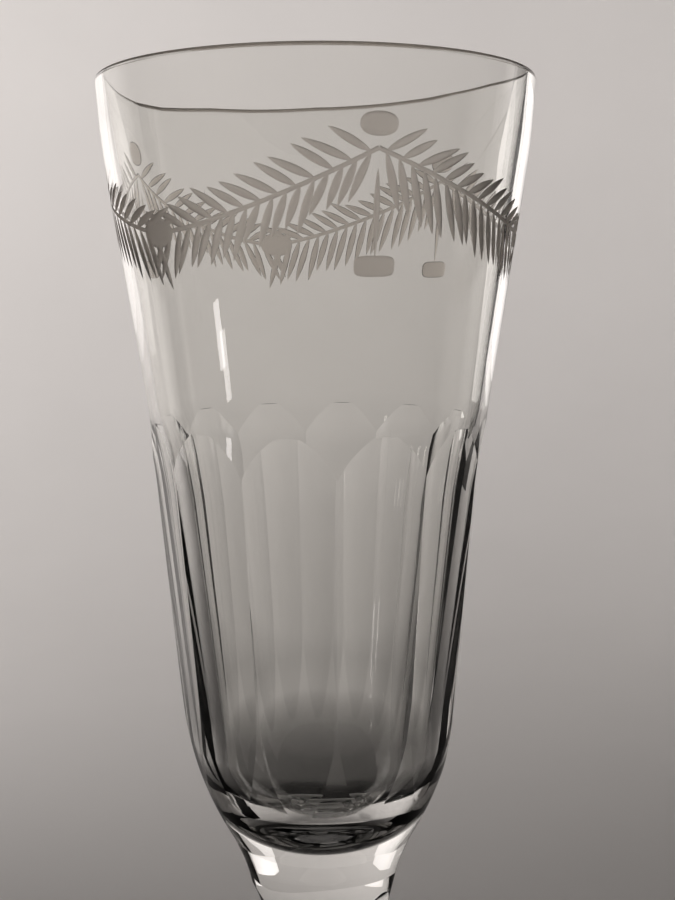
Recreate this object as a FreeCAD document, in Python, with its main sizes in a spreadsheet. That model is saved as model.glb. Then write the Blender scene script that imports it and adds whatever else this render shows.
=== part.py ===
"""Champagne flute: a blown bowl with cut panels, a faceted stem and a round foot, fused face to face.

Each piece is a PartDesign body with its own lower seam at its own height zero. The flute stands on the
XY plane with its axis on Z, in millimetres.
"""
import FreeCAD, Part
import math
import os

import Sketcher

# Every size: its name in the sheet, its value (millimetres, degrees or a count) and what it is.
# Heights are measured up from a piece's own lower seam, drops down from its top.
SIZES = [
    ("bowl_length", 108.5, "bowl, from its seam with the stem to the rim"),
    ("stem_length", 56.5, "stem, from its seam with the foot to its seam with the bowl"),
    ("foot_height", 7.0, "foot, from the table to its seam with the stem"),
    # outside of the bowl
    ("rim_radius", 30.05, "outer radius at the rim"),
    ("lip_taper", 0.6, "how much narrower the outside is where the lip ends"),
    ("lip_drop", 9.0, "depth of the almost upright lip"),
    ("shoulder_radius", 23.95, "outer radius where the cone meets the panelled part"),
    ("shoulder_height", 62.0, "height of that place, where the panels' arches end"),
    # inside of the bowl
    ("rim_wall", 1.05, "glass thickness at the rim"),
    ("rim_bevel", 0.3, "bevel of the ground rim, outside and inside, as a share of its thickness"),
    ("shoulder_wall", 1.4, "glass thickness at the shoulder"),
    ("base_wall", 4.25, "glass between the panels and the inner wall, where each would meet its underside"),
    ("floor_height", 1.8, "solid glass between the bowl's seam and the lowest point of its round floor"),
    # flat panels cut round the lower bowl and on down over the top of the stem
    ("panel_count", 12, "flat panels round the bowl"),
    ("panel_turn", -9.5, "angle from +X to the middle of the first panel"),
    ("ridge_inset", 0.21, "how far the ridges between panels lie inside the shoulder below the arches"),
    ("ridge_drop", 5.5, "how far that place is below the shoulder"),
    ("arch_bend", 55.0, "radius that the cutting wheel leaves where a panel runs out in its arch"),
    ("ridge_base_radius", 19.2, "ridge radius where wall and underside would meet without their bend"),
    ("ridge_base_height", 10.2, "height of that place"),
    ("base_bend", 43.0, "radius of the bend between panelled wall and underside"),
    ("seam_ridge_radius", 13.73, "ridge radius at the seam of bowl and stem"),
    ("cut_allowance", 2.5, "glass on the blown blank that the cutting of the lower panels removes"),
    # stem
    ("flat_count", 6, "flats round the stem"),
    ("knee_drop", 4.9, "drop to the place where a panel ends on a ridge between two flats"),
    ("flat_top_radius", 11.05, "radius of the ridges between flats at their upper run-out"),
    ("flat_top_drop", 3.5, "drop to that run-out"),
    ("waist_radius", 5.4, "ridge radius where the flats' two slopes would meet without their bend"),
    ("waist_share", 0.513, "height of that place, as a share of the stem's length"),
    ("waist_sweep", 0.68, "share of the slope below it that the bend there takes up"),
    ("flat_foot_radius", 6.3, "ridge radius at the flats' lower run-out"),
    ("flat_foot_height", 9.5, "height of that run-out"),
    ("wheel_edge", 7.0, "radius of the wheel's edge, left where a flat runs out at either end"),
    ("stem_allowance", 0.8, "glass on the drawn stem that the cutting of the flats removes"),
    ("neck_radius", 6.6, "radius of the round neck under the flats"),
    ("neck_height", 5.5, "height of that neck"),
    ("stem_foot_radius", 10.0, "radius of the stem's round base at its seam with the foot"),
    # foot
    ("foot_radius", 29.0, "outer radius of the foot"),
    ("foot_edge", 2.4, "thickness of the foot at its edge"),
    ("edge_bevel", 0.35, "bevel of that edge, above and below, as a share of its thickness"),
    ("sweep_reach", 1.4, "how much wider the foot's steep middle gets before it would meet its flat cone"),
    ("sweep_height", 4.8, "height of that place"),
    ("sweep_bend", 3.0, "radius of the hollow curve there"),
    ("ring_width", 3.8, "width of the ring that the flute stands on, out to the edge"),
    ("kick_rise", 1.1, "how far the underside rises from that ring to the pontil"),
    ("pontil_radius", 8.5, "radius of the pontil, ground into the middle"),
    ("pontil_depth", 0.8, "depth of the pontil, and width of its sloping side"),
]

# A flat lies nearer to the axis than the ridges beside it, by the cosine of half its angle.
PANEL_INSET = "cos(180 / sizes.panel_count)"
FLAT_INSET = "cos(180 / sizes.flat_count)"
# A cutter's outline is carried this far past the glass, and this much further out as it leaves a run-out.
CLEAR = 2
RUN_OUT_REACH = 6
RUN_OUT_RISE = 3.5
# A panel's cutting plane passes this far outside the shoulder, so that its arch ends just below it.
ARCH_STOP = 0.1
# Marks the bend of a corner that is rounded all the way to the axis, so that it turns into a ball.
TO_AXIS = "to the axis"


def add_sheet(doc):
    """Write the sizes into a spreadsheet, one row each, with its alias."""
    sheet = doc.addObject("Spreadsheet::Sheet", "sizes")
    for row, (alias, value, meaning) in enumerate(SIZES, start=1):
        sheet.set(f"A{row}", alias)
        sheet.set(f"B{row}", str(value))
        sheet.setAlias(f"B{row}", alias)
        sheet.set(f"C{row}", meaning)
    doc.recompute()
    return sheet


def origin_feature(body, role):
    """Return the plane or axis of a body's own origin that has this role."""
    return next(item for item in body.Origin.OriginFeatures if item.Role == role)


def unit(start, end):
    """Return the unit vector from one corner to the next."""
    return (end - start).normalize()


def rounded_corner(before, corner, after, radius):
    """Return the two tangent points and the centre of the arc that rounds a corner."""
    back = unit(corner, before)
    ahead = unit(corner, after)
    half_angle = back.getAngle(ahead) / 2
    reach = radius / math.tan(half_angle)
    centre = corner + (back + ahead).normalize() * (radius / math.sin(half_angle))
    return corner + back * reach, corner + ahead * reach, centre


def tie_point(sketch, geometry, point, name, across, up):
    """Hold a sketch point at the place that two expressions give; the expression 0 puts it on an axis."""
    for kind, expression, axis in (("DistanceX", across, -2), ("DistanceY", up, -1)):
        if expression == "0":
            sketch.addConstraint(Sketcher.Constraint("PointOnObject", geometry, point, axis))
            continue
        value = sketch.evalExpression(expression)
        index = sketch.addConstraint(Sketcher.Constraint(kind, -1, 1, geometry, point, float(value)))
        label = f"{name}_{'r' if kind == 'DistanceX' else 'z'}"
        sketch.renameConstraint(index, label)
        sketch.setExpression(f"Constraints.{label}", expression)


def draw_outline(sketch, corners):
    """Draw a closed outline of straight runs and tangent bends, every corner tied to the sheet.

    A corner is (name, radius from the axis, height, bend), all but the name as expressions; bend is None
    where the corner is sharp. A corner bent TO_AXIS is followed by the point of the axis that it ends at.
    """
    places = [
        FreeCAD.Vector(float(sketch.evalExpression(across)), float(sketch.evalExpression(up)), 0)
        for _, across, up, _ in corners
    ]
    count = len(corners)
    starts = list(places)
    ends = list(places)
    arcs = {}
    for index, (_, _, _, bend) in enumerate(corners):
        if bend is None:
            continue
        before, corner, after = places[index - 1], places[index], places[(index + 1) % count]
        if bend == TO_AXIS:
            half_angle = unit(corner, before).getAngle(unit(corner, after)) / 2
            radius = corner.distanceToPoint(after) * math.tan(half_angle)
        else:
            radius = float(sketch.evalExpression(bend))
        ends[index], starts[index], centre = rounded_corner(before, corner, after, radius)
        arcs[index] = (centre, radius)

    lines = [
        None if corners[index][3] == TO_AXIS
        else sketch.addGeometry(Part.LineSegment(starts[index], ends[(index + 1) % count]), False)
        for index in range(count)
    ]
    for index, (name, across, up, bend) in enumerate(corners):
        line_in, line_out = lines[index - 1], lines[index]
        if bend is None:
            if line_in is not None:
                sketch.addConstraint(Sketcher.Constraint("Coincident", line_in, 2, line_out, 1))
            tie_point(sketch, line_out, 1, name, across, up)
            continue
        centre, radius = arcs[index]
        into = ends[index] - centre
        out_of = starts[index] - centre
        turns_left = into.cross(out_of).z > 0
        first, last = (into, out_of) if turns_left else (out_of, into)
        circle = Part.Circle(centre, FreeCAD.Vector(0, 0, 1), radius)
        span = [math.atan2(ray.y, ray.x) for ray in (first, last)]
        arc = sketch.addGeometry(Part.ArcOfCircle(circle, *span), False)
        head, tail = (1, 2) if turns_left else (2, 1)
        mark = sketch.addGeometry(Part.Point(places[index]), True)
        tie_point(sketch, mark, 1, name, across, up)
        sketch.addConstraint(Sketcher.Constraint("PointOnObject", mark, 1, line_in))
        sketch.addConstraint(Sketcher.Constraint("Tangent", line_in, 2, arc, head))
        if bend == TO_AXIS:
            line_after = lines[(index + 1) % count]
            sketch.addConstraint(Sketcher.Constraint("Coincident", arc, tail, line_after, 1))
            sketch.addConstraint(Sketcher.Constraint("PointOnObject", arc, 3, -2))
            continue
        sketch.addConstraint(Sketcher.Constraint("PointOnObject", mark, 1, line_out))
        sketch.addConstraint(Sketcher.Constraint("Tangent", arc, tail, line_out, 1))
        bend_index = sketch.addConstraint(Sketcher.Constraint("Radius", arc, radius))
        sketch.renameConstraint(bend_index, f"{name}_bend")
        sketch.setExpression(f"Constraints.{name}_bend", bend)


def add_sketch(body, name, plane, corners):
    """Add a sketch of one outline on a plane of the body's origin."""
    sketch = body.newObject("Sketcher::SketchObject", name)
    sketch.AttachmentSupport = [(origin_feature(body, plane), "")]
    sketch.MapMode = "FlatFace"
    draw_outline(sketch, corners)
    return sketch


def add_body(doc, name, height):
    """Add an empty body, turned so that its panels line up with the other bodies' and set at its height."""
    body = doc.addObject("PartDesign::Body", name)
    body.Label = name
    turn = FreeCAD.Rotation(FreeCAD.Vector(0, 0, 1), 1)
    body.Placement = FreeCAD.Placement(FreeCAD.Vector(0, 0, 0), turn)
    body.setExpression(".Placement.Rotation.Angle", "sizes.panel_turn")
    body.setExpression(".Placement.Base.z", height)
    return body


def revolve(body, name, corners):
    """Turn an outline of glass once round the axis."""
    sketch = add_sketch(body, f"{name}_outline", "XZ_Plane", corners)
    glass = body.newObject("PartDesign::Revolution", name)
    glass.Profile = sketch
    glass.ReferenceAxis = (sketch, ["V_Axis"])
    glass.Angle = 360
    return glass


def cut_flats(body, name, plane, corners, count):
    """Cut one flat whose outline is seen edge on in a plane, then repeat it round the axis."""
    volume = body.Tip.Shape.Volume
    sketch = add_sketch(body, f"{name}_outline", plane, corners)
    flat = body.newObject("PartDesign::Pocket", name)
    flat.Profile = sketch
    flat.Type = "ThroughAll"
    flat.SideType = "Symmetric"
    body.Document.recompute()
    ring = body.newObject("PartDesign::PolarPattern", f"{name}s")
    ring.Originals = [flat]
    ring.Axis = (origin_feature(body, "Z_Axis"), [""])
    ring.Angle = 360
    ring.setExpression("Occurrences", count)
    body.Tip = ring
    body.Document.recompute()
    if not ring.Shape.Volume < flat.Shape.Volume < volume:
        raise RuntimeError(f"{body.Label}: {name} removes no glass")


def make_bowl(doc):
    """Make the bowl: blown hollow cone, then twelve flat panels with arched tops round its lower half."""
    body = add_body(doc, "bowl", "sizes.foot_height + sizes.stem_length")
    bevel = "sizes.rim_wall * sizes.rim_bevel"
    rim_inside = "sizes.rim_radius - sizes.rim_wall"
    revolve(body, "blown_bowl", [
        ("seam_middle", "0", "0", None),
        ("seam_edge", "sizes.seam_ridge_radius + sizes.cut_allowance", "0", None),
        ("base", "sizes.ridge_base_radius + sizes.cut_allowance", "sizes.ridge_base_height", None),
        ("shoulder", "sizes.shoulder_radius", "sizes.shoulder_height", None),
        ("lip", "sizes.rim_radius - sizes.lip_taper", "sizes.bowl_length - sizes.lip_drop", None),
        ("rim_outside", "sizes.rim_radius", f"sizes.bowl_length - {bevel}", None),
        ("rim_out", f"sizes.rim_radius - {bevel}", "sizes.bowl_length", None),
        ("rim_in", f"{rim_inside} + {bevel}", "sizes.bowl_length", None),
        ("rim_inside", rim_inside, f"sizes.bowl_length - {bevel}", None),
        ("shoulder_in", "sizes.shoulder_radius - sizes.shoulder_wall", "sizes.shoulder_height", None),
        ("floor", f"sizes.ridge_base_radius * {PANEL_INSET} - sizes.base_wall", "sizes.floor_height",
         TO_AXIS),
        ("floor_middle", "0", "sizes.floor_height", None),
    ])
    doc.recompute()
    beyond = f"sizes.rim_radius + {CLEAR}"
    cut_flats(body, "panel", "XZ_Plane", [
        ("below", f"sizes.seam_ridge_radius * {PANEL_INSET}", f"-{CLEAR}", None),
        ("below_out", beyond, f"-{CLEAR}", None),
        ("above_out", beyond, f"sizes.shoulder_height + {beyond} - sizes.shoulder_radius", None),
        ("crown", f"sizes.shoulder_radius + {ARCH_STOP}", "sizes.shoulder_height", None),
        ("arch", f"(sizes.shoulder_radius - sizes.ridge_inset) * {PANEL_INSET}",
         "sizes.shoulder_height - sizes.ridge_drop", "sizes.arch_bend"),
        ("base", f"sizes.ridge_base_radius * {PANEL_INSET}", "sizes.ridge_base_height", "sizes.base_bend"),
        ("seam", f"sizes.seam_ridge_radius * {PANEL_INSET}", "0", None),
    ], "sizes.panel_count")
    return body


def make_stem(doc):
    """Make the stem: drawn waisted stem that takes the panels' lower ends, with six long flats below."""
    body = add_body(doc, "stem", "sizes.foot_height")
    flat_foot = f"sizes.flat_foot_radius * {FLAT_INSET}"
    flat_top = f"sizes.flat_top_radius * {FLAT_INSET}"
    flat_top_height = "(sizes.stem_length - sizes.flat_top_drop)"
    flat_waist = f"sizes.waist_radius * {FLAT_INSET}"
    waist_height = "(sizes.stem_length * sizes.waist_share)"
    slope_length = f"({waist_height} - sizes.flat_foot_height)"
    lower_slope = f"atan(({flat_foot} - {flat_waist}) / {slope_length})"
    upper_slope = f"atan(({flat_top} - {flat_waist}) / ({flat_top_height} - {waist_height}))"
    waist_bend = f"sizes.waist_sweep * {slope_length} / tan(({lower_slope} + {upper_slope}) / 2)"
    knee_height = "sizes.stem_length - sizes.knee_drop"
    # A panel ends on the ridge between two flats, so its last corner lies on the line of that ridge.
    ridge_rise = (
        "(sizes.flat_top_radius - sizes.waist_radius)"
        f" / ({flat_top_height} - {waist_height})"
    )
    knee_radius = f"sizes.waist_radius + ({knee_height} - {waist_height}) * {ridge_rise}"
    revolve(body, "drawn_stem", [
        ("foot_middle", "0", "0", None),
        ("foot_edge", "sizes.stem_foot_radius", "0", None),
        ("neck", "sizes.neck_radius", "sizes.neck_height", None),
        ("waist", "sizes.waist_radius + sizes.stem_allowance", waist_height, waist_bend),
        ("knee", f"{knee_radius} + sizes.stem_allowance", knee_height, None),
        ("seam_edge", "sizes.seam_ridge_radius + sizes.cut_allowance", "sizes.stem_length", None),
        ("seam_middle", "0", "sizes.stem_length", None),
    ])
    doc.recompute()
    beyond = f"sizes.seam_ridge_radius + sizes.cut_allowance + {CLEAR}"
    above = f"sizes.stem_length + {CLEAR}"
    cut_flats(body, "panel_end", "XZ_Plane", [
        ("below", knee_radius, f"{knee_height} - {CLEAR}", None),
        ("below_out", beyond, f"{knee_height} - {CLEAR}", None),
        ("above_out", beyond, above, None),
        ("above", f"sizes.seam_ridge_radius * {PANEL_INSET}", above, None),
        ("seam", f"sizes.seam_ridge_radius * {PANEL_INSET}", "sizes.stem_length", None),
        ("knee", knee_radius, knee_height, None),
    ], "sizes.panel_count")
    cut_flats(body, "flat", "YZ_Plane", [
        ("low_exit", f"{flat_foot} + {RUN_OUT_REACH}", f"sizes.flat_foot_height - {RUN_OUT_RISE}", None),
        ("high_exit", f"{flat_top} + {RUN_OUT_REACH}", f"{flat_top_height} + {RUN_OUT_RISE}", None),
        ("flat_top", flat_top, flat_top_height, "sizes.wheel_edge"),
        ("waist", flat_waist, waist_height, waist_bend),
        ("flat_foot", flat_foot, "sizes.flat_foot_height", "sizes.wheel_edge"),
    ], "sizes.flat_count")
    return body


def make_foot(doc):
    """Make the foot: low cone with a bevelled edge, a ring to stand on and a pontil ground underneath."""
    body = add_body(doc, "foot", "0")
    bevel = "sizes.foot_edge * sizes.edge_bevel"
    pontil_height = "sizes.kick_rise + sizes.pontil_depth"
    revolve(body, "pressed_foot", [
        ("pontil_middle", "0", pontil_height, None),
        ("pontil_floor", "sizes.pontil_radius - sizes.pontil_depth", pontil_height, None),
        ("pontil_edge", "sizes.pontil_radius", "sizes.kick_rise", None),
        ("ring", "sizes.foot_radius - sizes.ring_width", "0", None),
        ("edge_under", f"sizes.foot_radius - {bevel}", "0", None),
        ("edge_low", "sizes.foot_radius", bevel, None),
        ("edge_high", "sizes.foot_radius", f"sizes.foot_edge - {bevel}", None),
        ("edge_over", f"sizes.foot_radius - {bevel}", "sizes.foot_edge", None),
        ("sweep", "sizes.stem_foot_radius + sizes.sweep_reach", "sizes.sweep_height", "sizes.sweep_bend"),
        ("seam_edge", "sizes.stem_foot_radius", "sizes.foot_height", None),
        ("seam_middle", "0", "sizes.foot_height", None),
    ])
    doc.recompute()
    return body


def check(doc, bodies):
    """Stop if any object failed to compute or any piece is empty, broken or in more than one solid."""
    for item in doc.Objects:
        if {"Invalid", "Error"} & set(item.State):
            raise RuntimeError(f"{item.Label} failed: {item.State}")
    for body in bodies:
        shape = body.Shape
        if shape.isNull() or not shape.isValid() or len(shape.Solids) != 1:
            raise RuntimeError(f"{body.Label} isn't one valid solid")


def main():
    """Build the flute and write one STEP file for each piece."""
    doc = FreeCAD.newDocument("champagne_flute")
    add_sheet(doc)
    bodies = [make_bowl(doc), make_stem(doc), make_foot(doc)]
    doc.recompute()
    check(doc, bodies)
    os.makedirs("parts", exist_ok=True)
    for body in bodies:
        body.Shape.exportStep(os.path.join("parts", f"{body.Label}.step"))
        box = body.Shape.BoundBox
        print(f"{body.Label}: {body.Shape.Volume:.1f} mm3, z {box.ZMin:.3f} to {box.ZMax:.3f}, "
              f"across {box.XLength:.3f} by {box.YLength:.3f}")


main()
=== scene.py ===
"""Champagne flute: a blown crystal bowl with twelve cut panels and an engraved leaf garland, a faceted
stem and a round foot, on a plain pale sweep.

The three pieces of the frame are rebuilt as fine, closed meshes with the same sizes, because glass shows
every facet of a coarse one. Sizes are in millimetres and degrees, meshes in metres.
"""

import logging
import math
from dataclasses import dataclass
from enum import Enum
from functools import partial

import bpy
import numpy as np
from bpy.types import Material, Node, NodeSocket, NodeTree, Object, bpy_prop_collection
from mathutils import Matrix, Vector


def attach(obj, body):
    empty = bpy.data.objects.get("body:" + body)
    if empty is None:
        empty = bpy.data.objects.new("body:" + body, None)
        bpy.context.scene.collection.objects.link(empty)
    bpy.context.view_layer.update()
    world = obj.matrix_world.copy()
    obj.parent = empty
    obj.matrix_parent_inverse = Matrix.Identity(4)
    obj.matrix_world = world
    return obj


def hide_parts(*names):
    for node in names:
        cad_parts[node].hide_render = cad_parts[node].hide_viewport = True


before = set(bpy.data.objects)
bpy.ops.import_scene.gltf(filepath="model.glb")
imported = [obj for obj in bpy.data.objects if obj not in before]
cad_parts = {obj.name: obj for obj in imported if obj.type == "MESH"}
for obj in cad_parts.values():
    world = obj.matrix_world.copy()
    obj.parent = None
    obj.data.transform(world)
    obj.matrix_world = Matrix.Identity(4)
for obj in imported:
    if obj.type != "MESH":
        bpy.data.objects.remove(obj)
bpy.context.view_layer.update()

LOG = logging.getLogger("champagne_flute")
MM = 0.001
TINY = 1e-9
MATH = "ShaderNodeMath"
VECTOR_MATH = "ShaderNodeVectorMath"
XYZ = "ShaderNodeCombineXYZ"
INDEX = "GeometryNodeInputIndex"
TIMES, OVER, MINUS = {"operation": "MULTIPLY"}, {"operation": "DIVIDE"}, {"operation": "SUBTRACT"}
SCALED = {"operation": "SCALE"}


def linear(code: str) -> tuple[float, float, float, float]:
    """Turn an sRGB hex colour into a linear one.

    Args:
        code: the colour as "#RRGGBB".

    Returns:
        Linear red, green and blue, and an alpha of 1.
    """
    shares = [int(code[start:start + 2], 16) / 255 for start in (1, 3, 5)]
    return tuple(s / 12.92 if s <= 0.04045 else ((s + 0.055) / 1.055) ** 2.4 for s in shares) + (1.0,)


def add_node(tree: NodeTree, kind: str, settings: dict | None = None,
             links: dict | None = None) -> Node:
    """Add a node with its settings and inputs.

    Args:
        tree: the node tree to add to.
        kind: the node's type name.
        settings: properties to set on the node.
        links: for each input, by name or number, a constant or what feeds it: a socket, a node, by its first
            output, or a list of these.

    Returns:
        The new node.
    """
    node = tree.nodes.new(kind)
    for name, value in (settings or {}).items():
        setattr(node, name, value)
    for key, value in (links or {}).items():
        for source in value if isinstance(value, list) else [value]:
            if isinstance(source, Node):
                source = source.outputs[0]
            if isinstance(source, NodeSocket):
                tree.links.new(source, node.inputs[key])
            else:
                node.inputs[key].default_value = source
    return node


# ---- outlines


def unit(vectors: np.ndarray) -> np.ndarray:
    """Return vectors, one in each row, at a length of 1."""
    return vectors / np.maximum(np.linalg.norm(vectors, axis=1, keepdims=True), TINY)


@dataclass(frozen=True)
class Corner:
    """One corner of an outline.

    Attributes:
        radius: distance from the axis.
        height: height above the table.
        bend: radius of the tangent bend that rounds the corner, 0 where it is sharp.
    """

    radius: float
    height: float
    bend: float = 0.0


@dataclass(frozen=True)
class Run:
    """One straight line or arc of an outline.

    Attributes:
        start: where it starts, as radius and height.
        end: where it ends.
        centre: the middle of an arc's circle, or None for a straight line.
    """

    start: np.ndarray
    end: np.ndarray
    centre: np.ndarray | None = None

    def points(self, tolerance: float) -> np.ndarray:
        """Return points along the run.

        Args:
            tolerance: how far the lines between them may stray from it.

        Returns:
            The points in order, without the run's end.
        """
        if self.centre is None:
            return self.start[None]
        ray, last = self.start - self.centre, self.end - self.centre
        radius = float(np.hypot(*ray))
        turn = math.atan2(ray[0] * last[1] - ray[1] * last[0], float(ray @ last))
        steps = max(2, math.ceil(abs(turn) / (2 * math.acos(1 - tolerance / radius))))
        angles = math.atan2(ray[1], ray[0]) + turn * np.arange(steps) / steps
        return self.centre + radius * np.stack([np.cos(angles), np.sin(angles)], axis=1)

    def distance(self, spots: np.ndarray) -> np.ndarray:
        """Measure how far each spot lies from the run.

        Args:
            spots: one radius and height in each row.

        Returns:
            The distances.
        """
        along = self.end - self.start
        if self.centre is None:
            share = np.clip((spots - self.start) @ along / (along @ along), 0, 1)
            return np.linalg.norm(spots - self.start - share[:, None] * along, axis=1)
        rays = spots - self.centre
        first, last = self.start - self.centre, self.end - self.centre
        turn = np.sign(first[0] * last[1] - first[1] * last[0])
        inside = turn * (first[0] * rays[:, 1] - first[1] * rays[:, 0]) >= 0
        inside &= turn * (rays[:, 0] * last[1] - rays[:, 1] * last[0]) >= 0
        off_arc = np.abs(np.linalg.norm(rays, axis=1) - np.hypot(*first))
        off_ends = np.minimum(*(np.linalg.norm(spots - end, axis=1) for end in (self.start, self.end)))
        return np.where(inside, off_arc, off_ends)

    def normals(self, spots: np.ndarray) -> np.ndarray:
        """Find the direction square to the run beside each spot.

        Args:
            spots: one radius and height in each row.

        Returns:
            A unit vector for each, on either side of the run.
        """
        if self.centre is None:
            along = self.end - self.start
            across = np.array([along[1], -along[0]]) / np.hypot(*along)
            return np.broadcast_to(across, spots.shape)
        return unit(spots - self.centre)


class Outline:
    """Straight runs joined by tangent bends, in the plane of the axis."""

    shortest = 1e-6

    def __init__(self, corners: list[Corner], closed: bool = False) -> None:
        """Lay out the runs.

        Args:
            corners: the corners in order.
            closed: whether a run leads from the last corner back to the first.
        """
        places = [np.array((corner.radius, corner.height), float) for corner in corners]
        count = len(corners)
        self.closed = closed
        self.runs: list[Run] = []
        arrivals, departures = list(places), list(places)
        centres: dict[int, np.ndarray] = {}
        for index, corner in enumerate(corners):
            if corner.bend:
                back = places[index - 1] - places[index]
                ahead = places[(index + 1) % count] - places[index]
                back, ahead = back / np.hypot(*back), ahead / np.hypot(*ahead)
                half = math.acos(float(np.clip(back @ ahead, -1, 1))) / 2
                reach = corner.bend / math.tan(half)
                arrivals[index] = places[index] + back * reach
                departures[index] = places[index] + ahead * reach
                bisector = (back + ahead) / np.hypot(*(back + ahead))
                centres[index] = places[index] + bisector * corner.bend / math.sin(half)
        for index in range(count if closed else count - 1):
            after = (index + 1) % count
            if np.hypot(*(arrivals[after] - departures[index])) > self.shortest:
                self.runs.append(Run(departures[index], arrivals[after]))
            if after in centres:
                self.runs.append(Run(arrivals[after], departures[after], centres[after]))

    def points(self, tolerance: float) -> np.ndarray:
        """Return the points of all runs, and for an open outline its last corner."""
        ends = [] if self.closed else [self.runs[-1].end[None]]
        return np.concatenate([run.points(tolerance) for run in self.runs] + ends)

    def nearest(self, spots: np.ndarray) -> tuple[np.ndarray, np.ndarray]:
        """Return each spot's distance from the outline and the number of its nearest run."""
        distances = np.stack([run.distance(spots) for run in self.runs])
        return distances.min(axis=0), distances.argmin(axis=0)


# ---- meshes


def new_object(name: str, vertices: np.ndarray, faces: list, finish: Material | None = None,
               ) -> Object:
    """Make a mesh object at the origin.

    Args:
        name: the object's name.
        vertices: one row of x, y and z in metres for each vertex.
        faces: for each face, the numbers of its vertices.
        finish: the material of all faces.

    Returns:
        The object, linked to the scene.
    """
    mesh = bpy.data.meshes.new(name)
    mesh.from_pydata(vertices, [], faces)
    if finish:
        mesh.materials.append(finish)
    mesh.shade_smooth()
    item = bpy.data.objects.new(name, mesh)
    bpy.context.scene.collection.objects.link(item)
    return item


def turned(rows: np.ndarray, columns: int) -> np.ndarray:
    """Return rings of vertices round the axis, in metres, one ring for each row of radius and height."""
    angles = 2 * math.pi * np.arange(columns) / columns
    return np.stack([
        rows[:, None, 0] * np.cos(angles),
        rows[:, None, 0] * np.sin(angles),
        np.broadcast_to(rows[:, None, 1], (len(rows), columns)),
    ], axis=-1).reshape(-1, 3) * MM


def ring_faces(rings: int, columns: int, poles: int = 2, flipped: bool = False) -> list[tuple[int, ...]]:
    """Return the faces that join rings of vertices.

    Args:
        rings: how many rings there are.
        columns: how many vertices each has.
        poles: how many ends a vertex closes, the first end first. Such vertices come after the rings.
        flipped: whether the faces look the other way.

    Returns:
        For each face, the numbers of its vertices.
    """
    pole, last = rings * columns, (rings - 1) * columns
    faces = []
    for column in range(columns):
        after = (column + 1) % columns
        if poles > 0:
            faces.append((pole, after, column))
        if poles > 1:
            faces.append((last + column, last + after, pole + 1))
        for row in range(0, last, columns):
            faces.append((row + column, row + after, row + columns + after, row + columns + column))
    return [face[::-1] for face in faces] if flipped else faces


@dataclass(frozen=True)
class RingOfCuts:
    """One cut, repeated round the axis.

    Attributes:
        outline: the closed outline of what one cut takes away, seen edge on. It runs anticlockwise.
        count: how many cuts there are.
        first_angle: angle from +X to the middle of the first one.
        half_width: how far the cutter reaches to either side.
    """

    outline: Outline
    count: int
    first_angle: float
    half_width: float

    def cutter(self, tolerance: float, finish: Material) -> Object:
        """Stretch the outline to both sides of its plane.

        Args:
            tolerance: how far the facets may stray from a bend.
            finish: the material of all faces.

        Returns:
            The cutter, a closed mesh object.
        """
        rows = self.outline.points(tolerance)
        count = len(rows)
        sides = [np.stack([rows[:, 0], np.full(count, side), rows[:, 1]], axis=1)
                 for side in (-self.half_width, self.half_width)]
        faces = [(i, (i + 1) % count, count + (i + 1) % count, count + i) for i in range(count)]
        faces += [tuple(reversed(range(count))), tuple(range(count, 2 * count))]
        return new_object("cutter", np.concatenate(sides) * MM, [face[::-1] for face in faces], finish)

    def outward(self, places: np.ndarray) -> np.ndarray:
        """Find the direction that the cut beside each place faces.

        Args:
            places: one x, y and z in each row.

        Returns:
            A level unit vector for each, as x and y.
        """
        step, first = 2 * math.pi / self.count, math.radians(self.first_angle)
        angles = first + step * np.round((np.arctan2(places[:, 1], places[:, 0]) - first) / step)
        return np.stack([np.cos(angles), np.sin(angles)], axis=1)


def read(elements: bpy_prop_collection, name: str, width: int = 1, kind: type = float) -> np.ndarray:
    """Return one property of all elements of a mesh.

    Args:
        elements: the mesh's vertices, faces or corners.
        name: the property's name.
        width: how many numbers it has.
        kind: their type.

    Returns:
        One value for each element, or one row where the property has more numbers.
    """
    values = np.empty(len(elements) * width, kind)
    elements.foreach_get(name, values)
    return values if width == 1 else values.reshape(-1, width)


def in_plane(places: np.ndarray, outward: np.ndarray) -> np.ndarray:
    """Return each place as radius and height in the upright plane of the axis and its outward direction."""
    return np.stack([(places[:, :2] * outward).sum(axis=1), places[:, 2]], axis=1)


# ---- geometry nodes


def new_tree(name: str, inputs: dict[str, str]) -> tuple[NodeTree, Node, Node]:
    """Make a geometry node tree that changes a mesh.

    Args:
        name: the tree's name.
        inputs: for each named input its socket type, besides the geometry.

    Returns:
        The tree, its input node and its output node.
    """
    tree = bpy.data.node_groups.new(name, "GeometryNodeTree")
    tree.interface.new_socket("Geometry", in_out="INPUT", socket_type="NodeSocketGeometry")
    tree.interface.new_socket("Geometry", in_out="OUTPUT", socket_type="NodeSocketGeometry")
    for title, kind in inputs.items():
        tree.interface.new_socket(title, in_out="INPUT", socket_type=f"NodeSocket{kind}")
    return tree, add_node(tree, "NodeGroupInput"), add_node(tree, "NodeGroupOutput")


def run_tree(item: Object, tree: NodeTree, inputs: dict[str, object]) -> None:
    """Run a node tree on an object once and keep the result as its plain mesh.

    Args:
        item: the object.
        tree: the node tree.
        inputs: a value for each named input of the tree.
    """
    modifier = item.modifiers.new(tree.name, "NODES")
    modifier.node_group = tree
    for socket in tree.interface.items_tree:
        if socket.in_out == "INPUT" and socket.name in inputs:
            modifier[socket.identifier] = inputs[socket.name]
    evaluated = item.evaluated_get(bpy.context.evaluated_depsgraph_get())
    mesh = bpy.data.meshes.new_from_object(evaluated)
    item.modifiers.remove(modifier)
    item.data = mesh


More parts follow.
